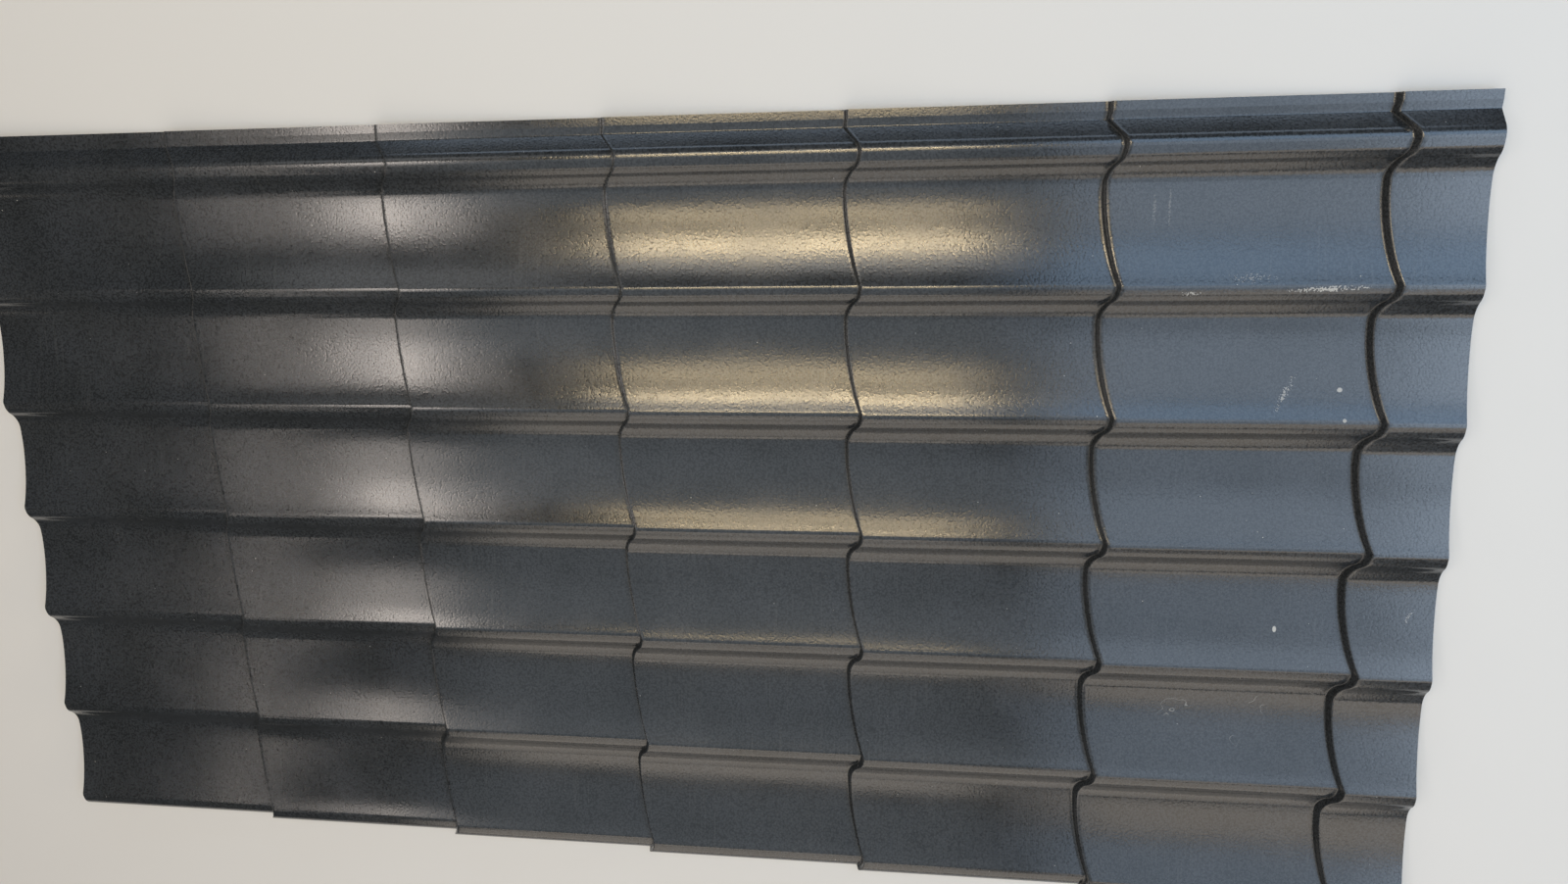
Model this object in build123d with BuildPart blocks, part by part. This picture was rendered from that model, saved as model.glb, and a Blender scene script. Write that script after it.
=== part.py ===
from build123d import *
import os
from math import atan2, cos, degrees, hypot, sin, tan

# One pressed roofing sheet with the look of clay pantiles, in millimetres.
# X runs up the roof, from the eaves end to the ridge end. Y runs across the waves. Z is up.
# The sheet is thin steel. Its waves run along X, and the steps that imitate the
# lower edges of the tiles cross them. It lies flat, on the feet of its steps.

# Sheet
thickness = 0.55           # 0.5 of zinc-coated steel and a thin coat of paint on both sides

# Waves, seen in a cut across the sheet
wave_pitch = 183.3         # from crest to crest
wave_count = 6             # pans between the first crest and the last
crest_radius = 12.0        # bend of a crest
shoulder_width = 16.6      # a crest's steep side starts gently, down to its shoulder
shoulder_fall = 3.7
shoulder_radius = 22.0
flank_width = 15.0         # and goes on steeply, down to its foot
flank_fall = 18.6
foot_radius = 34.0
pan_bottom = 82.2          # from the foot of the steep side to the lowest corner of the pan
pan_fall = 3.3             # how far that corner lies below the foot
pan_straight = 1.0         # left straight between the foot's bend and the pan's

# Long edges
land_width = 11.9          # flat land along the edge that lies under the next sheet
groove_width = 11.5        # run from the land down into the drain groove
groove_fall = 2.3
groove_radius = 3.0
lap_flank_width = 26.1     # from the groove up to the corner of the first crest
lap_crest_shift = 8.3      # that corner lies this much nearer the edge than its crest
lap_crest_radius = 19.0
lip_flank_width = 5.8      # what is left of the last crest's flank, below its shoulder

# Steps, seen in a cut along the sheet
tile_length = 350.0        # from step to step
step_count = 6
eaves_tile_length = 360.0  # from the eaves end to the first step
ridge_lap_length = 120.0   # from the last step to the ridge end
step_height = 15.0
step_draft = 4.0           # how far the foot of a step stands in front of its nose
nose_setback = 24.2        # how far the nose of a crest lies behind the nose of a pan
skin_setback = 1.27        # how far the lower skin's noses lie behind the upper skin's

wave_depth = shoulder_fall + flank_fall
side_width = shoulder_width + flank_width
lip_width = shoulder_width + lip_flank_width
cover_width = wave_count * wave_pitch
sheet_width = land_width + groove_width + lap_flank_width + lap_crest_shift + cover_width + lip_width
sheet_length = eaves_tile_length + (step_count - 1) * tile_length + ridge_lap_length
tile_fall = step_height / (tile_length - step_draft)    # fall of a tile for each mm along it

# The pan's bend fills what the foot's bend and the straight stretch leave of the pan.
pan_slope = atan2(pan_fall, pan_bottom)
far_slope = atan2(wave_depth + pan_fall, wave_pitch - side_width - pan_bottom)
foot_turn = atan2(flank_fall, flank_width) - pan_slope
bend_run = hypot(pan_bottom, pan_fall) - foot_radius * tan(foot_turn / 2) - pan_straight
pan_radius = bend_run / tan((far_slope + pan_slope) / 2)


def wave_corners():
    """The corners of a square cut's upper line from the lap edge on, and their bend radii."""
    y = sheet_width / 2
    corners = [(y, groove_fall)]
    y -= land_width
    corners.append((y, groove_fall))
    y -= groove_width
    corners.append((y, 0))
    y -= lap_flank_width
    corners.append((y, wave_depth + lap_crest_shift * shoulder_fall / shoulder_width))
    radii = [groove_radius, groove_radius, lap_crest_radius]
    crest_y = y - lap_crest_shift
    for wave in range(wave_count):
        y = crest_y - wave * wave_pitch
        corners.append((y - shoulder_width, flank_fall))
        corners.append((y - side_width, 0))
        corners.append((y - side_width - pan_bottom, -pan_fall))
        corners.append((y - wave_pitch, wave_depth))
        radii += [shoulder_radius, foot_radius, pan_radius, crest_radius]
    y = crest_y - cover_width
    corners.append((y - shoulder_width, flank_fall))
    corners.append((y - lip_width, flank_fall * (1 - lip_flank_width / flank_width)))
    radii.append(shoulder_radius)
    return corners, radii


def step_corners():
    """The corners of a cut along a pan: the foot and the nose of each step."""
    corners = []
    for step in range(step_count):
        x = eaves_tile_length + step * tile_length
        corners += [Vector(x - step_draft, 0, -step_height), Vector(x, 0, 0)]
    return corners


# The noses of a step lie in one slanting plane, so every crest starts behind its pans.
# Along that plane a tile's section is taller than in a square cut.
slant = atan2(nose_setback, wave_depth)
nose_plane = Plane(origin=(0, 0, 0), x_dir=(0, 1, 0), z_dir=(cos(slant), 0, -sin(slant)))
stretch = 1 / (cos(slant) + tile_fall * sin(slant))


def nose_edge(edge):
    """An edge of the square cut as the slanting plane shows it: an arc becomes part of an ellipse."""
    start, end = edge @ 0, edge @ 1
    if edge.geom_type == GeomType.LINE:
        flat = Line((start.X, start.Y * stretch), (end.X, end.Y * stretch))
    else:
        middle = edge.arc_center
        start_angle = degrees(atan2(start.Y - middle.Y, start.X - middle.X))
        turn = degrees(edge.length / edge.radius)
        if (edge % 0).cross(edge % 1).Z < 0:
            turn = -turn
        radius = edge.radius
        flat = EllipticalCenterArc(
            (middle.X, middle.Y * stretch), radius, radius * stretch, start_angle, arc_size=turn
        )
    return nose_plane * flat.edge()


def square_edges(cut, x, lift):
    """The edges of the square cut where a tile is cut off at this x."""
    if x < eaves_tile_length:
        fallen = step_height - tile_fall * (eaves_tile_length - step_draft - x)
    else:
        fallen = tile_fall * (x - sheet_length + ridge_lap_length)
    end_plane = Plane(origin=(x, 0, lift - fallen), x_dir=(0, 1, 0), z_dir=(1, 0, 0))
    return [end_plane * edge for edge in cut]


def skin(nose, path, eaves_end, ridge_end):
    """One skin: a nose line carried down the tiles and up the steps, and two square ends."""
    faces = []
    for start, end in zip(path, path[1:]):
        faces += [Face.extrude(edge.moved(Location(start)), end - start) for edge in nose]
    for edge, eaves_edge, ridge_edge in zip(nose, eaves_end, ridge_end):
        faces.append(Face.make_surface_from_curves(eaves_edge, edge.moved(Location(path[0]))))
        faces.append(Face.make_surface_from_curves(edge.moved(Location(path[-1])), ridge_edge))
    return faces


def rim(upper_points, lower_points):
    """The rim that joins the two skins along one side of the sheet."""
    faces = []
    for i in range(len(upper_points) - 1):
        corners = [upper_points[i], upper_points[i + 1], lower_points[i + 1], lower_points[i]]
        faces.append(Face(Wire.make_polygon(corners)))
    return faces


def cap(upper_end, lower_end):
    """The flat face that closes the two skins at one end."""
    sides = [Line(upper_end[0] @ 1, lower_end[0] @ 1), Line(upper_end[-1] @ 0, lower_end[-1] @ 0)]
    return Face(Wire(upper_end + lower_end + [side.edge() for side in sides]))


# The square cut, as an upper and a lower line one thickness apart.
with BuildLine() as upper_cut:
    corners, radii = wave_corners()
    FilletPolyline(*corners, radius=radii)
lower_cut = offset(
    upper_cut.wire(), amount=thickness, side=Side.LEFT, kind=Kind.INTERSECTION, closed=False
)

upper_cut = upper_cut.edges().sort_by(Axis.X)
lower_cut = [edge.reversed() for edge in lower_cut.edges().sort_by(Axis.X)]

# The nose lines of the two skins, and their square ends, edge by edge from the lip on.
upper_nose = [nose_edge(edge) for edge in upper_cut]
lower_nose = [nose_edge(edge).moved(Location((skin_setback, 0, 0))) for edge in lower_cut]
lower_lift = skin_setback * tile_fall
upper_ends = [square_edges(upper_cut, x, 0) for x in (0, sheet_length)]
lower_ends = [square_edges(lower_cut, x, lower_lift) for x in (0, sheet_length)]

# The skins, their rims and caps close to one solid.
path = step_corners()
faces = skin(upper_nose, path, *upper_ends) + skin(lower_nose, path, *lower_ends)
for i, at in ((0, 1), (-1, 0)):
    upper_points = [upper_ends[0][i] @ at] + [place + (upper_nose[i] @ at) for place in path]
    lower_points = [lower_ends[0][i] @ at] + [place + (lower_nose[i] @ at) for place in path]
    faces += rim(upper_points + [upper_ends[1][i] @ at], lower_points + [lower_ends[1][i] @ at])
faces += [cap(upper_end, lower_end) for upper_end, lower_end in zip(upper_ends, lower_ends)]
with BuildPart() as roof_sheet:
    add(Solid(Shell(faces)))

# It lies on the floor, centred.
box = roof_sheet.part.bounding_box()
roof_sheet.part.position = (-sheet_length / 2, 0, -box.min.Z)
roof_sheet.part.label = "roof_sheet"

os.makedirs("parts", exist_ok=True)
export_step(roof_sheet.part, "parts/roof_sheet.step")

print("sheet", sheet_length, "x", round(sheet_width, 1), "x", round(box.size.Z, 2))
print("cover width", round(cover_width, 1), "wave depth", round(wave_depth, 2))
print("pan radius", round(pan_radius, 1))
print("volume in cubic metres", roof_sheet.part.volume * 1e-9)
print("valid", roof_sheet.part.is_valid, "solids", len(roof_sheet.solids()))
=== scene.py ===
# %% [markdown]
# # A roofing sheet with the look of clay pantiles
# The object is one pressing of thin painted steel. It lies flat on the floor with its
# painted face up, and the camera looks down on it.
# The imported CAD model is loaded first, because the scene shares its frame: metres, X up
# the roof from the eaves end to the ridge end, Y across the waves, Z up.

from math import radians, tan

import bpy
import bmesh
from mathutils import Matrix, Vector


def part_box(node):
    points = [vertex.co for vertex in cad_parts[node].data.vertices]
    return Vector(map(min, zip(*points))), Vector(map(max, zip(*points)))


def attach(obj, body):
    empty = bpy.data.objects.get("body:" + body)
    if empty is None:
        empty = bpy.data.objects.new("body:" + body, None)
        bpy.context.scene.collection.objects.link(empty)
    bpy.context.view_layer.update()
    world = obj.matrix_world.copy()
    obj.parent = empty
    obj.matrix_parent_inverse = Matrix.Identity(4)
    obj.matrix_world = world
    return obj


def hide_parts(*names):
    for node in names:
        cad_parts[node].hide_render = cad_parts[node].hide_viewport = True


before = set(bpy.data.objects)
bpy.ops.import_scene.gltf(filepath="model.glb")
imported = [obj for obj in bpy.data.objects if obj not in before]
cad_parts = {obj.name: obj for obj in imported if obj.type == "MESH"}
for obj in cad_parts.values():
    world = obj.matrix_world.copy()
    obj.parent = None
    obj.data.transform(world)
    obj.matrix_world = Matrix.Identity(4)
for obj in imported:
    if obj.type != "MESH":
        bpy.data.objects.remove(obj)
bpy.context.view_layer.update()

# %% [markdown]
# ## The camera
# A camera looks along its local -Z axis, and its local Y axis is up in the picture.
# Where it stood over the sheet is known, so its matrix is built from three directions.
# It could also be aimed with a Track To constraint, but that can't roll the camera.

# %% Camera
picture_width = 1600
focal_length = 1107  # in pixels of a picture that wide
camera_place = Vector((0.478, 0.516, 1.5526))
looking = Vector((-0.1728, -0.2457, -0.9538)).normalized()
picture_up = Vector((-0.0209, 0.9691, -0.2459))
picture_right = looking.cross(picture_up).normalized()
picture_up = picture_right.cross(looking)

camera_data = bpy.data.cameras.new("camera")
camera_data.sensor_width = 36.0
camera_data.lens = camera_data.sensor_width * focal_length / picture_width
camera = bpy.data.objects.new("camera", camera_data)
turn = Matrix((picture_right, picture_up, -looking)).transposed()
camera.matrix_world = Matrix.Translation(camera_place) @ turn.to_4x4()
bpy.context.collection.objects.link(camera)
bpy.context.scene.camera = camera
print("lens", round(camera_data.lens, 2))

# %% [markdown]
# ## The section
# Seen from its end, a roofing sheet is one long line: a flat land, a drain groove, and
# then six waves. Each wave has a steep side, which starts gently at its shoulder, and a
# wide pan. The line could be drawn as a curve, but a few vertices at the corners are
# enough, and the bends come later from a vertex bevel. The sizes are the CAD model's, in
# metres. Only the lip is 0.4 mm narrower, so that its rim stays inside the CAD box.

# %% Corners of the section
wave_pitch = 0.1833
wave_count = 6
shoulder_width = 0.0166
shoulder_fall = 0.0037
flank_width = 0.015
flank_fall = 0.0186
pan_bottom = 0.0822
pan_fall = 0.0033
land_width = 0.0119
groove_width = 0.0115
groove_fall = 0.0023
lap_flank_width = 0.0261
lap_crest_shift = 0.0083
lip_flank_width = 0.0054
wave_depth = shoulder_fall + flank_fall
side_width = shoulder_width + flank_width

bm = bmesh.new()
line = []


def corner(y, z):
    """Add a corner to the section and join it to the one before."""
    line.append(bm.verts.new((0, y, z)))
    if len(line) > 1:
        bm.edges.new(line[-2:])
    return line[-1]


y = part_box("roof_sheet")[1].y
corner(y, groove_fall)
groove_corners = [corner(y - land_width, groove_fall), corner(y - land_width - groove_width, 0)]
y -= land_width + groove_width + lap_flank_width
lap_crest = corner(y, wave_depth + lap_crest_shift * shoulder_fall / shoulder_width)
y -= lap_crest_shift
crests, shoulders, feet, pans = [], [], [], []
for wave in range(wave_count):
    shoulders.append(corner(y - shoulder_width, flank_fall))
    feet.append(corner(y - side_width, 0))
    pans.append(corner(y - side_width - pan_bottom, -pan_fall))
    y -= wave_pitch
    crests.append(corner(y, wave_depth))
shoulders.append(corner(y - shoulder_width, flank_fall))
lip_drop = lip_flank_width * flank_fall / flank_width
end = corner(y - shoulder_width - lip_flank_width, flank_fall - lip_drop)
print("corners", len(bm.verts), "width", round(line[0].co.y - end.co.y, 4))

# %% [markdown]
# ## The bends
# Rollers bend the steel round each corner. A bevel that affects vertices turns a corner
# of a line into an arc. Its offset is how far from the corner the arc starts, which is
# the radius times the tangent of half the turn.

# %% Round the corners


def bend(corners, radius, segments):
    """Turn each corner of the line into an arc of this radius."""
    for vert in corners:
        one, other = [edge.other_vert(vert).co - vert.co for edge in vert.link_edges]
        half_turn = (radians(180) - one.angle(other)) / 2
        bmesh.ops.bevel(
            bm,
            geom=[vert],
            offset=radius * tan(half_turn),
            offset_type="OFFSET",
            segments=segments,
            profile=0.5,
            affect="VERTICES",
            material=-1,
        )


groove_radius = 0.003
lap_crest_radius = 0.019
shoulder_radius = 0.022
foot_radius = 0.034
pan_radius = 0.3307
crest_radius = 0.012
bend(groove_corners, groove_radius, 3)
bend([lap_crest], lap_crest_radius, 10)
bend(shoulders, shoulder_radius, 10)
bend(feet, foot_radius, 12)
bend(pans, pan_radius, 14)
bend(crests, crest_radius, 8)
print("points on the section", len(bm.verts))

# %% [markdown]
# ## Tiles and steps
# The press sets a step across the sheet every 350 mm. Its front edge follows the waves:
# a crest's edge starts further up the roof than a pan's, so all of it lies in one
# slanting plane. We lean the section into that plane with a shear, and carry it along
# the sheet by extruding its edges, down each tile and up each step. An extra line of
# edges close to each fold keeps the smooth shading of the long tiles true: without it,
# a tile would shade as if it were tilted.

# %% Carry the section along the sheet
tile_length = 0.350
step_count = 6
eaves_tile_length = 0.360
ridge_lap_length = 0.120
step_height = 0.015
step_draft = 0.004
nose_setback = 0.0242
pan_nose_height = 0.01641  # over the floor
sheet_length = eaves_tile_length + (step_count - 1) * tile_length + ridge_lap_length
tile_fall = step_height / (tile_length - step_draft)
lean = nose_setback / wave_depth

shrink = Matrix.Scale(1 / (1 + tile_fall * lean), 4, (0, 0, 1))
shear = Matrix.Identity(4)
shear[0][2] = lean
bmesh.ops.transform(bm, matrix=shear @ shrink, verts=bm.verts)

lead = 2 * nose_setback  # how far the tiles run past both ends, before these are cut
beside_fold = 0.006
path = [Vector((-lead, 0, (eaves_tile_length - step_draft + lead) * tile_fall - step_height))]
folds = []
for step in range(step_count):
    nose = Vector((eaves_tile_length + step * tile_length, 0, 0))
    foot = nose - Vector((step_draft, 0, step_height))
    along_tile = Vector((beside_fold, 0, -beside_fold * tile_fall))
    path += [foot - along_tile, foot, nose, nose + along_tile]
    folds += [foot, nose]
path.append(Vector((sheet_length + lead, 0, -(ridge_lap_length + lead) * tile_fall)))

to_row = Vector((-sheet_length / 2, 0, pan_nose_height))
bmesh.ops.translate(bm, verts=bm.verts, vec=path[0] + to_row)
front = list(bm.edges)
fold_lines = []
for start, stop in zip(path, path[1:]):
    grown = bmesh.ops.extrude_edge_only(bm, edges=front)["geom"]
    front = [item for item in grown if isinstance(item, bmesh.types.BMEdge)]
    front_verts = [item for item in grown if isinstance(item, bmesh.types.BMVert)]
    bmesh.ops.translate(bm, verts=front_verts, vec=stop - start)
    if stop in folds:
        fold_lines += front

bmesh.ops.recalc_face_normals(bm, faces=bm.faces)
if sum(face.normal.z for face in bm.faces) < 0:
    bmesh.ops.reverse_faces(bm, faces=bm.faces)
print("faces", len(bm.faces), "fold edges", len(fold_lines))

# %% [markdown]
# ## Folded steel
# Steel can't turn a sharp corner. An edge bevel on the fold lines rounds the nose and
# the foot of each step. Its offset is measured along the sheet here, with the type
# ABSOLUTE, so that the bends stay parallel from wave to wave.

# %% Round the folds
fold_offset = 0.0024
bmesh.ops.bevel(
    bm,
    geom=fold_lines,
    offset=fold_offset,
    offset_type="ABSOLUTE",
    segments=4,
    profile=0.5,
    affect="EDGES",
    material=-1,
)
print("faces", len(bm.faces))

# %% [markdown]
# ## Square ends
# Shears cut the sheet square, but the section leans, so the carried tiles run on past
# both ends. A bisection with a plane cuts them off there. The cuts are a hair short of
# the full length, because the rim added later must stay inside the CAD box. The open
# border gets marked as sharp, or the rim would tilt the shading of the face beside it.

# %% Cut both ends square
trim = 0.00005
for side in (-1, 1):
    bmesh.ops.bisect_plane(
        bm,
        geom=bm.verts[:] + bm.edges[:] + bm.faces[:],
        plane_co=(side * (sheet_length / 2 - trim), 0, 0),
        plane_no=(side, 0, 0),
        clear_outer=True,
    )
for face in bm.faces:
    face.smooth = True
for edge in bm.edges:
    edge.smooth = not edge.is_boundary
print("faces", len(bm.faces))

# %% [markdown]
# ## Thickness
# The sheet is half a millimetre thick. A Solidify modifier adds the lower skin and the
# rim, and gives each of them its own material slot. Offset -1 lets the steel grow down
# from the painted face, which stays where it is.

# %% The sheet as an object
sheet_mesh = bpy.data.meshes.new("pressed_sheet")
bm.to_mesh(sheet_mesh)
bm.free()
pressed_sheet = bpy.data.objects.new("pressed_sheet", sheet_mesh)
bpy.context.collection.objects.link(pressed_sheet)
solidify = pressed_sheet.modifiers.new("thickness", "SOLIDIFY")
solidify.thickness = 0.00055
solidify.offset = -1
solidify.use_even_offset = True
solidify.material_offset = 1
solidify.material_offset_rim = 2
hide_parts("roof_sheet")
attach(pressed_sheet, "root")
print("sheet", [round(v, 4) for v in pressed_sheet.dimensions])

# %% [markdown]
# ## Shader nodes
# The finishes are made of nodes. Small helpers keep the node trees short to read. One
# adds a node and fills its inputs, by name or by place. Two add the most common ones, a
# sum and a soft step. Two more start a node group, and place it in a material.

# %% Helpers for nodes


def add(tree, kind, inputs={}, **settings):
    """Add a node, set it up, and link or fill its inputs."""
    node = tree.nodes.new("ShaderNode" + kind)
    for name, value in settings.items():
        setattr(node, name, value)
    for place, value in inputs.items():
        if isinstance(value, bpy.types.NodeSocket):
            tree.links.new(value, node.inputs[place])
        else:
            node.inputs[place].default_value = value
    return node


def work_out(tree, operation, *terms):
    """Add a Math node and give its result."""
    return add(tree, "Math", dict(enumerate(terms)), operation=operation).outputs[0]


def fade(tree, value, low, high, to_low=0.0, to_high=1.0):
    """Turn a value between low and high smoothly into one between the other two."""
    ends = {"Value": value, 1: low, 2: high, 3: to_low, 4: to_high}
    return add(tree, "MapRange", ends, interpolation_type="SMOOTHSTEP").outputs[0]


def start_effect(name, inputs, output):
    """Start a node group that has these inputs and one output."""
    tree = bpy.data.node_groups.new(name, "ShaderNodeTree")
    for label, value in inputs.items():
        kind = "NodeSocketFloat" if isinstance(value, float) else "NodeSocketVector"
        tree.interface.new_socket(label, in_out="INPUT", socket_type=kind).default_value = value
    tree.interface.new_socket(output, in_out="OUTPUT", socket_type="NodeSocketFloat")
    return tree, tree.nodes.new("NodeGroupInput").outputs, tree.nodes.new("NodeGroupOutput").inputs


def effect(tree, group, inputs):
    """Place an effect in a material and give its output."""
    node = tree.nodes.new("ShaderNodeGroup")
    node.node_tree = group
    for label, value in inputs.items():
        if isinstance(value, bpy.types.NodeSocket):
            tree.links.new(value, node.inputs[label])
        else:
            node.inputs[label].default_value = value
    return node.outputs[0]


# %% [markdown]
# ## Grain of the paint
# The thick paint of a roofing sheet dries to a leathery grain. Its cells are about 3 mm
# wide here. It breaks up a reflection into sparkles. The distance in a Voronoi texture,
# squared, gives hollows of that size, so it is taken away to get domes. A little noise
# makes them uneven. The material that uses the height scales it.

# %% Effect: grain
grain_inputs = {"Place": (0, 0, 0), "Cells per metre": 500.0}
grain, given, result = start_effect("paint_grain", grain_inputs, "Height")
cells = {"Vector": given["Place"], "Scale": given["Cells per metre"]}
distance = add(grain, "TexVoronoi", cells).outputs["Distance"]
domes = work_out(grain, "MULTIPLY", distance, distance)
finer = work_out(grain, "MULTIPLY", given["Cells per metre"], 1.7)
finer_noise = {"Vector": given["Place"], "Scale": finer, "Detail": 2.0}
unevenness = work_out(grain, "MULTIPLY", add(grain, "TexNoise", finer_noise).outputs[0], 0.6)
grain.links.new(work_out(grain, "SUBTRACT", unevenness, domes), result["Height"])
print("grain nodes", len(grain.nodes))

# %% [markdown]
# ## Dust
# Dust lies on a sheet as a thin haze in patches, and as single white crumbs. The crumbs
# are the middles of Voronoi cells, and a second value of each cell keeps only a few.

# %% Effect: dust
dust_inputs = {"Place": (0, 0, 0), "Haze": 0.1, "Crumbs": 0.2}
dust, given, result = start_effect("dust", dust_inputs, "Mask")
patches = add(dust, "TexNoise", {"Vector": given["Place"], "Scale": 5.0, "Detail": 3.0}).outputs[0]
powder = add(dust, "TexNoise", {"Vector": given["Place"], "Scale": 260.0, "Detail": 2.0}).outputs[0]
haze = work_out(dust, "MULTIPLY", fade(dust, patches, 0.35, 0.7), fade(dust, powder, 0.35, 0.75))
haze = work_out(dust, "MULTIPLY", haze, given["Haze"])
cell = add(dust, "TexVoronoi", {"Vector": given["Place"], "Scale": 130.0})
pick = add(dust, "SeparateColor", {"Color": cell.outputs["Color"]})
grown = work_out(dust, "MULTIPLY", patches, given["Crumbs"])
kept = work_out(dust, "LESS_THAN", pick.outputs["Red"], grown)
crumb_size = work_out(dust, "MULTIPLY", pick.outputs["Green"], 0.11)
crumb = work_out(dust, "LESS_THAN", cell.outputs["Distance"], crumb_size)
crumb = work_out(dust, "MULTIPLY", work_out(dust, "MULTIPLY", crumb, kept), pick.outputs["Blue"])
dust.links.new(work_out(dust, "MAXIMUM", haze, crumb), result["Mask"])
print("dust nodes", len(dust.nodes))

# %% [markdown]
# ## Streaks
# Rollers and sliding sheets leave fine parallel lines. They are a noise that a Mapping
# node stretches along one axis, so one group serves the streaks in either direction.

# %% Effect: streaks
streak_inputs = {"Place": (0, 0, 0), "Stretch": (1, 1, 1), "Amount": 0.5}
streaks, given, result = start_effect("streaks", streak_inputs, "Mask")
stretching = {"Vector": given["Place"], "Scale": given["Stretch"]}
stretched = add(streaks, "Mapping", stretching).outputs[0]
lines = add(streaks, "TexNoise", {"Vector": stretched, "Scale": 1.0, "Detail": 3.0}).outputs[0]
areas = add(streaks, "TexNoise", {"Vector": given["Place"], "Scale": 7.0, "Detail": 1.0}).outputs[0]
strength = work_out(streaks, "MULTIPLY", fade(streaks, areas, 0.4, 0.65), given["Amount"])
streak = work_out(streaks, "MULTIPLY", fade(streaks, lines, 0.52, 0.72), strength)
streaks.links.new(streak, result["Mask"])
print("streak nodes", len(streaks.nodes))

# %% [markdown]
# ## Rubbed places
# Where something hard slid over the paint, a pale broken mark is left. The mark is a
# soft ellipse with its own place, size and direction, and a noise tears gaps into it.
# The noise comes in from outside, because all marks can share one.

# %% Effect: rubbed mark
mark_inputs = {
    "Place": (0, 0, 0),
    "Torn": 0.5,
    "Centre": (0, 0, 0),
    "Size": (0.05, 0.005, 1),
    "Turn": (0, 0, 0),
    "Gaps": 0.5,
}
rub, given, result = start_effect("rubbed_mark", mark_inputs, "Mask")
from_centre = {0: given["Place"], 1: given["Centre"]}
moved = add(rub, "VectorMath", from_centre, operation="SUBTRACT").outputs[0]
turning = {"Vector": moved, "Rotation": given["Turn"]}
turned = add(rub, "VectorRotate", turning, rotation_type="EULER_XYZ", invert=True).outputs[0]
flat = add(rub, "VectorMath", {0: turned, 1: (1, 1, 0)}, operation="MULTIPLY").outputs[0]
sized = add(rub, "VectorMath", {0: flat, 1: given["Size"]}, operation="DIVIDE").outputs[0]
far = add(rub, "VectorMath", {0: sized}, operation="LENGTH").outputs["Value"]
level = work_out(rub, "MULTIPLY_ADD", far, 0.2, given["Gaps"])
level_up = work_out(rub, "ADD", level, 0.06)
inside = fade(rub, far, 1.0, 0.7)
whole = fade(rub, given["Torn"], level, level_up)
rub.links.new(work_out(rub, "MULTIPLY", whole, inside), result["Mask"])
print("rubbed mark nodes", len(rub.nodes))

# %% [markdown]
# ## Hair scratches
# Thin curly scratches look like hairs. The line where a noise passes one value is such
# a curl, and a second noise cuts it to short pieces.

# %% Effect: hair scratches
hair_inputs = {"Place": (0, 0, 0), "Amount": 0.5}
hairs, given, result = start_effect("hair_scratches", hair_inputs, "Mask")
curls = add(hairs, "TexNoise", {"Vector": given["Place"], "Scale": 40.0, "Detail": 1.0}).outputs[0]
off_line = work_out(hairs, "ABSOLUTE", work_out(hairs, "SUBTRACT", curls, 0.5))
curl = fade(hairs, off_line, 0.010, 0.004)
pieces = add(hairs, "TexNoise", {"Vector": given["Place"], "Scale": 23.0, "Detail": 0.0}).outputs[0]
curl = work_out(hairs, "MULTIPLY", curl, fade(hairs, pieces, 0.6, 0.66))
hairs.links.new(work_out(hairs, "MULTIPLY", curl, given["Amount"]), result["Mask"])
print("hair scratch nodes", len(hairs.nodes))

# %% [markdown]
# ## The painted face
# The face has a dark blue-grey paint with a soft gloss. Its colour and roughness vary a
# little from place to place. The grain's shade and highlight are also painted into the
# colour: darker in its grooves, where less light gets in, and lighter on its domes. A
# grain made by bump alone would be lost to the renderer's denoiser.

# %% Paint of the face
face_paint = bpy.data.materials.new("face_paint")
face_paint.use_nodes = True
tree = face_paint.node_tree
skin = tree.nodes["Principled BSDF"]
place = add(tree, "TexCoord").outputs["Object"]

clouds = add(tree, "TexNoise", {"Vector": place, "Scale": 9.0, "Detail": 4.0}).outputs[0]
dark_paint = (0.024, 0.027, 0.030, 1)
light_paint = (0.029, 0.033, 0.038, 1)
tones = {0: fade(tree, clouds, 0.3, 0.7), 6: dark_paint, 7: light_paint}
colour = add(tree, "Mix", tones, data_type="RGBA").outputs[2]
leather = effect(tree, grain, {"Place": place, "Cells per metre": 300.0})
# Painted shade and highlight of the grain: its grooves darken the colour, its domes lighten it.
shade = fade(tree, leather, -0.25, 0.30, 0.65, 1.35)
colour = add(tree, "VectorMath", {0: colour, "Scale": shade}, operation="SCALE").outputs[0]
print("face paint has", len(tree.nodes), "nodes")

# %% [markdown]
# ## Marks on the face
# Things that slid over the sheet left pale, dull marks in the paint. Some of the
# clearest are placed here one by one. The strongest mark wins where two meet,
# which is what the Math node's MAXIMUM does.

# %% Rubbed marks on the face
torn = add(tree, "TexNoise", {"Vector": place, "Scale": 420.0, "Detail": 3.0}).outputs[0]


def mark(x, y, length, width, turn, gaps):
    """Place a rubbed mark on the face, by its middle, its half sizes and its direction."""
    where = {"Place": place, "Torn": torn, "Centre": (x, y, 0), "Size": (length, width, 1)}
    return effect(tree, rub, where | {"Turn": (0, 0, radians(turn)), "Gaps": gaps})


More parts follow.
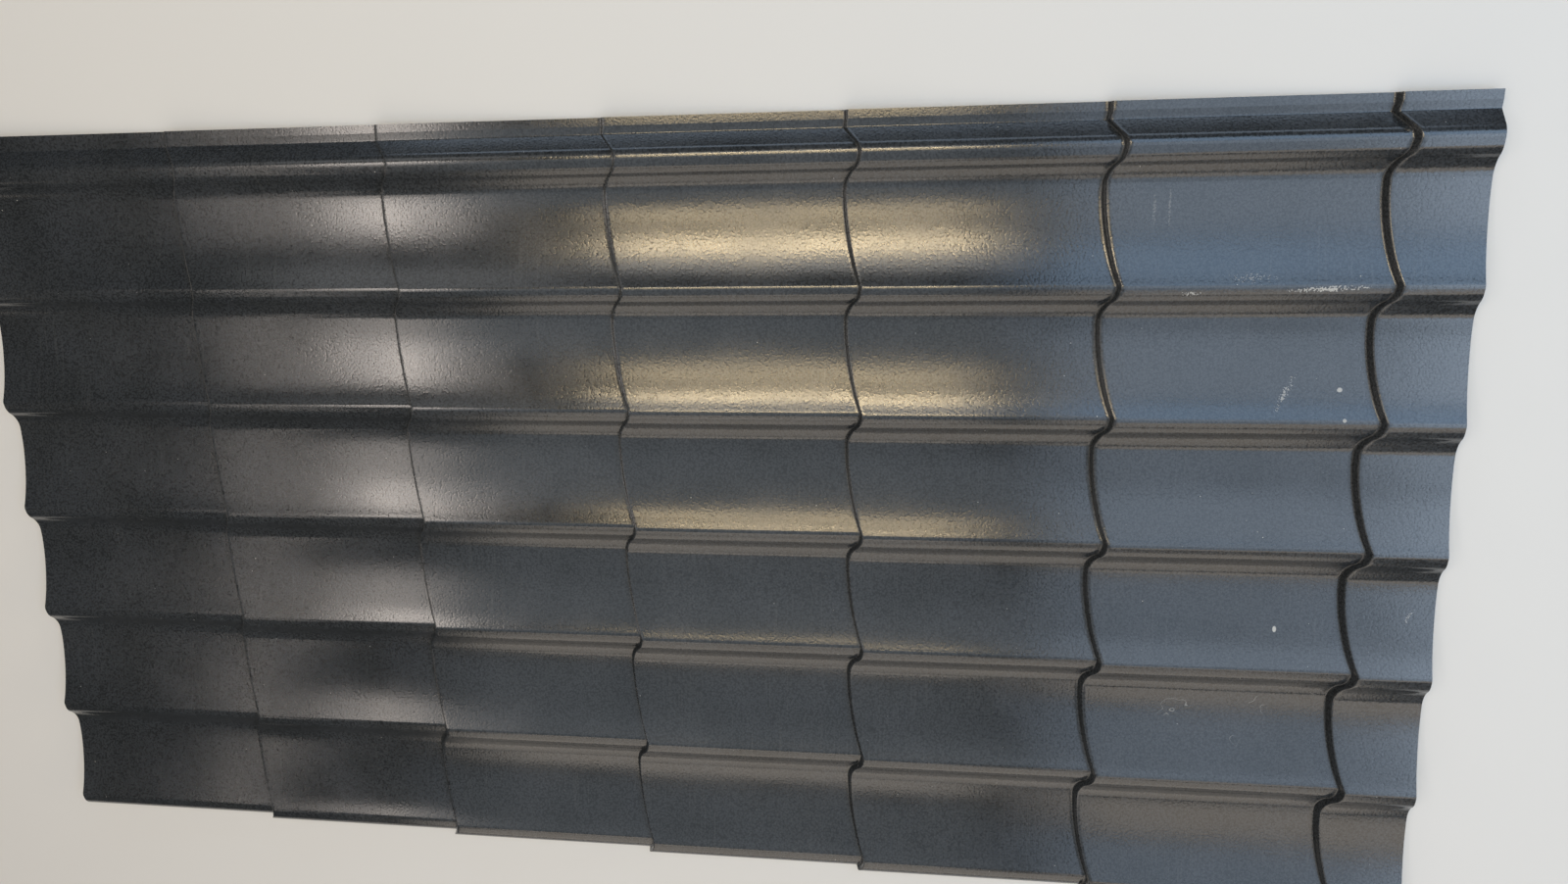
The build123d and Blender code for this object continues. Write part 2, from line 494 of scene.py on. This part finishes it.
crest_scuff = mark(0.930, 0.345, 0.064, 0.0045, 2, 0.40)
marks = work_out(tree, "MULTIPLY", crest_scuff, 0.8)
for strength, found in (
    (0.60, mark(0.759, 0.340, 0.020, 0.0040, 0, 0.44)),
    (0.40, mark(0.834, 0.360, 0.050, 0.0110, 0, 0.50)),
    (0.16, mark(0.7075, 0.4515, 0.003, 0.026, 0, 0.38)),
    (0.16, mark(0.727, 0.452, 0.002, 0.030, 0, 0.36)),
    (0.55, mark(0.890, 0.202, 0.036, 0.0065, 64, 0.44)),
    (0.80, mark(0.961, 0.208, 0.004, 0.0035, 0, 0.20)),
    (0.70, mark(0.968, 0.168, 0.003, 0.003, 0, 0.20)),
    (0.90, mark(0.9075, -0.143, 0.003, 0.005, 0, 0.10)),
    (0.40, mark(1.081, -0.114, 0.016, 0.0045, 60, 0.44)),
):
    marks = work_out(tree, "MAXIMUM", marks, work_out(tree, "MULTIPLY", found, strength))
print("face paint has", len(tree.nodes), "nodes")

# %% [markdown]
# ## Dust on the face
# Dust, streaks and curly scratches join the marks. Dust lies thicker in two patches and
# the curls are in one place only, so rubbed marks without gaps serve as their outlines.

# %% Dust, streaks and hairs on the face
dusty_patch = mark(0.815, 0.010, 0.14, 0.06, 0, 0.0)
dusty_patch_below = mark(0.72, -0.17, 0.08, 0.08, 0, 0.0)
dusty = work_out(tree, "ADD", dusty_patch, dusty_patch_below)
crumbs = work_out(tree, "MULTIPLY_ADD", dusty, 0.35, 0.12)
powder = effect(tree, dust, {"Place": place, "Haze": 0.03, "Crumbs": crumbs})
marks = work_out(tree, "MAXIMUM", marks, powder)
across = effect(tree, streaks, {"Place": place, "Stretch": (420, 9, 9), "Amount": 0.03})
marks = work_out(tree, "MAXIMUM", marks, across)
curly = effect(tree, hairs, {"Place": place, "Amount": 0.3})
curly = work_out(tree, "MULTIPLY", curly, mark(0.875, -0.262, 0.15, 0.075, 0, 0.0))
marks = work_out(tree, "MAXIMUM", marks, curly)
print("face paint has", len(tree.nodes), "nodes")

# %% [markdown]
# ## The face, put together
# The marks mix a pale colour into the paint and make it duller. The grain and a faint
# waviness of the thin steel go through one Bump node. Both heights are in metres. The
# paint reflects more than the shader's usual 4 percent, so its specular level is raised.

# %% Put the face together
pale_dust = (0.50, 0.50, 0.48, 1)
grain_height = 0.00007
sag_height = 0.0008
pale_mix = {0: marks, 6: colour, 7: pale_dust}
tree.links.new(add(tree, "Mix", pale_mix, data_type="RGBA").outputs[2], skin.inputs["Base Color"])
gloss = fade(tree, clouds, 0.3, 0.7, 0.15, 0.19)
dulled = work_out(tree, "MULTIPLY_ADD", marks, 0.5, gloss)
tree.links.new(dulled, skin.inputs["Roughness"])
fine = work_out(tree, "MULTIPLY", leather, grain_height)
sags = add(tree, "TexNoise", {"Vector": place, "Scale": 5.0, "Detail": 0.0}).outputs[0]
height = work_out(tree, "MULTIPLY_ADD", sags, sag_height, fine)
bump = add(tree, "Bump", {"Height": height, "Strength": 1.0, "Distance": 1.0})
tree.links.new(bump.outputs["Normal"], skin.inputs["Normal"])
skin.inputs["Specular IOR Level"].default_value = 0.8
print("face paint has", len(tree.nodes), "nodes")

# %% [markdown]
# ## The back
# The back of such a sheet gets a thin, pale grey coat. Rollers put it on along the
# sheet, so its streaks run the other way, and its grain is finer and duller.

# %% Coat of the back
back_coat = bpy.data.materials.new("back_coat")
back_coat.use_nodes = True
tree = back_coat.node_tree
skin = tree.nodes["Principled BSDF"]
place = add(tree, "TexCoord").outputs["Object"]
clouds = add(tree, "TexNoise", {"Vector": place, "Scale": 14.0, "Detail": 5.0}).outputs[0]
dark_coat = (0.27, 0.28, 0.28, 1)
light_coat = (0.36, 0.36, 0.35, 1)
worn_coat = (0.17, 0.17, 0.16, 1)
coat_grain_height = 0.00002
tones = {0: fade(tree, clouds, 0.3, 0.7), 6: dark_coat, 7: light_coat}
colour = add(tree, "Mix", tones, data_type="RGBA").outputs[2]
rolled = effect(tree, streaks, {"Place": place, "Stretch": (6, 500, 9), "Amount": 0.5})
dirt = effect(tree, dust, {"Place": place, "Haze": 0.35, "Crumbs": 0.1})
worn = work_out(tree, "MAXIMUM", rolled, dirt)
dark_mix = {0: work_out(tree, "MULTIPLY", worn, 0.6), 6: colour, 7: worn_coat}
tree.links.new(add(tree, "Mix", dark_mix, data_type="RGBA").outputs[2], skin.inputs["Base Color"])
tree.links.new(work_out(tree, "MULTIPLY_ADD", worn, 0.2, 0.5), skin.inputs["Roughness"])
fine = effect(tree, grain, {"Place": place, "Cells per metre": 900.0})
height = work_out(tree, "MULTIPLY", fine, coat_grain_height)
bump = add(tree, "Bump", {"Height": height, "Strength": 1.0, "Distance": 1.0})
tree.links.new(bump.outputs["Normal"], skin.inputs["Normal"])
print("back coat has", len(tree.nodes), "nodes")

# %% [markdown]
# ## The cut edge
# Shears leave the rim bare: grey zinc-coated steel with fine lines across its
# thickness, a little duller in places.

# %% Steel of the cut edge
cut_edge = bpy.data.materials.new("cut_edge")
cut_edge.use_nodes = True
tree = cut_edge.node_tree
skin = tree.nodes["Principled BSDF"]
place = add(tree, "TexCoord").outputs["Object"]
spots = add(tree, "TexNoise", {"Vector": place, "Scale": 160.0, "Detail": 4.0}).outputs[0]
dull_zinc = (0.22, 0.23, 0.24, 1)
bright_zinc = (0.48, 0.49, 0.50, 1)
shear_line = (0.12, 0.12, 0.12, 1)
shear_line_depth = 0.00004
tones = {0: fade(tree, spots, 0.35, 0.65), 6: dull_zinc, 7: bright_zinc}
colour = add(tree, "Mix", tones, data_type="RGBA").outputs[2]
sheared = effect(tree, streaks, {"Place": place, "Stretch": (2600, 2600, 60), "Amount": 1.0})
dark_mix = {0: work_out(tree, "MULTIPLY", sheared, 0.5), 6: colour, 7: shear_line}
tree.links.new(add(tree, "Mix", dark_mix, data_type="RGBA").outputs[2], skin.inputs["Base Color"])
skin.inputs["Metallic"].default_value = 0.9
tree.links.new(fade(tree, spots, 0.3, 0.7, 0.32, 0.5), skin.inputs["Roughness"])
height = work_out(tree, "MULTIPLY", sheared, -shear_line_depth)
bump = add(tree, "Bump", {"Height": height, "Strength": 1.0, "Distance": 1.0})
tree.links.new(bump.outputs["Normal"], skin.inputs["Normal"])
print("cut edge has", len(tree.nodes), "nodes")

# %% [markdown]
# ## Finishes on the sheet
# The slots follow the order that the Solidify modifier counts in: the face first, the
# lower skin one further, and the rim two further.

# %% Fill the slots
for finish in (face_paint, back_coat, cut_edge):
    sheet_mesh.materials.append(finish)
print("finishes", [finish.name for finish in sheet_mesh.materials])

# %% [markdown]
# ## Floor
# A plain pale floor under the sheet.

# %% Floor
floor_mesh = bpy.data.meshes.new("floor")
bm = bmesh.new()
bmesh.ops.create_grid(bm, x_segments=1, y_segments=1, size=6.0)
bm.to_mesh(floor_mesh)
bm.free()
floor = bpy.data.objects.new("floor", floor_mesh)
bpy.context.collection.objects.link(floor)

pale_floor = bpy.data.materials.new("pale_floor")
pale_floor.use_nodes = True
skin = pale_floor.node_tree.nodes["Principled BSDF"]
skin.inputs["Base Color"].default_value = (0.69, 0.69, 0.68, 1)
skin.inputs["Roughness"].default_value = 0.9
floor_mesh.materials.append(pale_floor)
print("floor", [round(v, 2) for v in floor.dimensions])

# %% [markdown]
# ## Light
# A dark glossy sheet shows its light mostly as reflections, so every softbox hangs where
# the camera sees it in the paint. Each is an area lamp with a size in metres, a power in
# watts and one of seven tints. The world adds a faint, even light.

# %% World and softboxes
world = bpy.data.worlds.new("studio")
bpy.context.scene.world = world
world.use_nodes = True
world.node_tree.nodes["Background"].inputs["Color"].default_value = (0.8, 0.9, 1.0, 1)
world.node_tree.nodes["Background"].inputs["Strength"].default_value = 0.03

golden = (1.0, 0.8, 0.5)
cream = (1.0, 0.88, 0.75)
rosy = (1.0, 0.9, 0.82)
white = (1.0, 1.0, 1.0)
pale_sky = (0.8, 0.9, 1.0)
daylight = (0.65, 0.8, 1.0)
sky = (0.48, 0.7, 1.0)


def softbox(name, place, size, watts, tint, turn=0.0, aim=None):
    """Hang an area lamp that looks straight down, or at a point."""
    lamp_data = bpy.data.lights.new(name, type="AREA")
    lamp_data.shape = "RECTANGLE"
    lamp_data.size, lamp_data.size_y = size
    lamp_data.energy = watts
    lamp_data.color = tint
    lamp = bpy.data.objects.new(name, lamp_data)
    lamp.location = place
    lamp.rotation_euler = (0, 0, radians(turn))
    if aim is not None:
        lamp.rotation_euler = (Vector(aim) - lamp.location).to_track_quat("-Z", "Y").to_euler()
    bpy.context.collection.objects.link(lamp)


# %% [markdown]
# ## Warm lamps over the middle
# Two long, narrow lamps make the two golden bands in the upper waves. Two boxes nearer
# the eaves make the rosy glow there, and a thin strip past them makes a faint last band.

# %% Tubes, rosy boxes and strip
overhead = 3.0
softbox("near_tube", (-0.05, 0.79, overhead), (1.6, 0.20), 10, golden)
softbox("far_tube", (-0.05, 1.30, overhead), (1.6, 0.16), 24, golden)
softbox("far_glow", (-0.05, 1.65, overhead), (1.8, 0.35), 5, white)
softbox("rosy_box", (-1.80, 0.70, overhead), (0.40, 0.8), 10, rosy)
softbox("rosy_box_low", (-1.85, -0.10, overhead), (0.45, 0.8), 4.5, rosy)
softbox("strip", (-2.50, -0.50, overhead), (0.08, 3.4), 5, rosy, turn=-3)
print("softboxes", len(bpy.data.lights))

# %% [markdown]
# ## Cool lamps over the ridge end
# Two rows of square boxes tint the tiles near the ridge end blue, like daylight from
# one side. The light is bluest at the back, and brighter past the ridge.

# %% Cool boxes
cool_size = (1.3, 1.25)
softbox("cool_back", (1.70, 1.90, overhead), cool_size, 14, sky)
softbox("cool_middle", (1.70, 0.60, overhead), cool_size, 11, daylight)
softbox("cool_front", (1.70, -0.70, overhead), cool_size, 7.5, daylight)
ridge_size = (1.4, 1.25)
softbox("ridge_back", (3.10, 1.90, overhead), ridge_size, 18, sky)
softbox("ridge_middle", (3.10, 0.60, overhead), ridge_size, 22, daylight)
softbox("ridge_front", (3.10, -0.70, overhead), ridge_size, 18, daylight)
print("softboxes", len(bpy.data.lights))

# %% [markdown]
# ## Fill and walls
# Large boxes fill the gaps between the others, so that no tile reflects black. The low
# ones stand round the sheet like walls and light the steep sides of the waves, which
# don't see the ceiling.

# %% Fill and wall boxes
softbox("front_right", (2.40, -2.00, overhead), (2.6, 1.2), 16, cream)
softbox("middle", (-0.45, 0.10, overhead), (2.8, 1.0), 6, pale_sky)
softbox("front_near", (-0.40, -1.05, overhead), (2.4, 1.3), 5, pale_sky)
softbox("front_far", (-0.40, -2.45, overhead), (2.4, 1.0), 14, cream)
softbox("back_left", (-1.90, 2.10, overhead), (1.4, 0.9), 3.5, white)
softbox("front_wall", (0.30, -3.2, 1.4), (4.0, 2.4), 40, cream, aim=(0.3, 0, 0))
softbox("back_wall", (0.30, 3.2, 1.0), (4.0, 0.8), 15, daylight, aim=(0.3, 0, 0))
softbox("eaves_wall", (-3.4, 0.0, 1.2), (3.0, 0.8), 9, cream, aim=(0, 0, 0))
softbox("ridge_wall", (3.8, 0.0, 1.2), (3.0, 0.8), 25, golden, aim=(0, 0, 0))
print("softboxes", len(bpy.data.lights))

# %% [markdown]
# ## Tones of the picture
# The Standard view shows colours as they are lit. The default one would grey them.

# %% View
bpy.context.scene.view_settings.view_transform = "Standard"
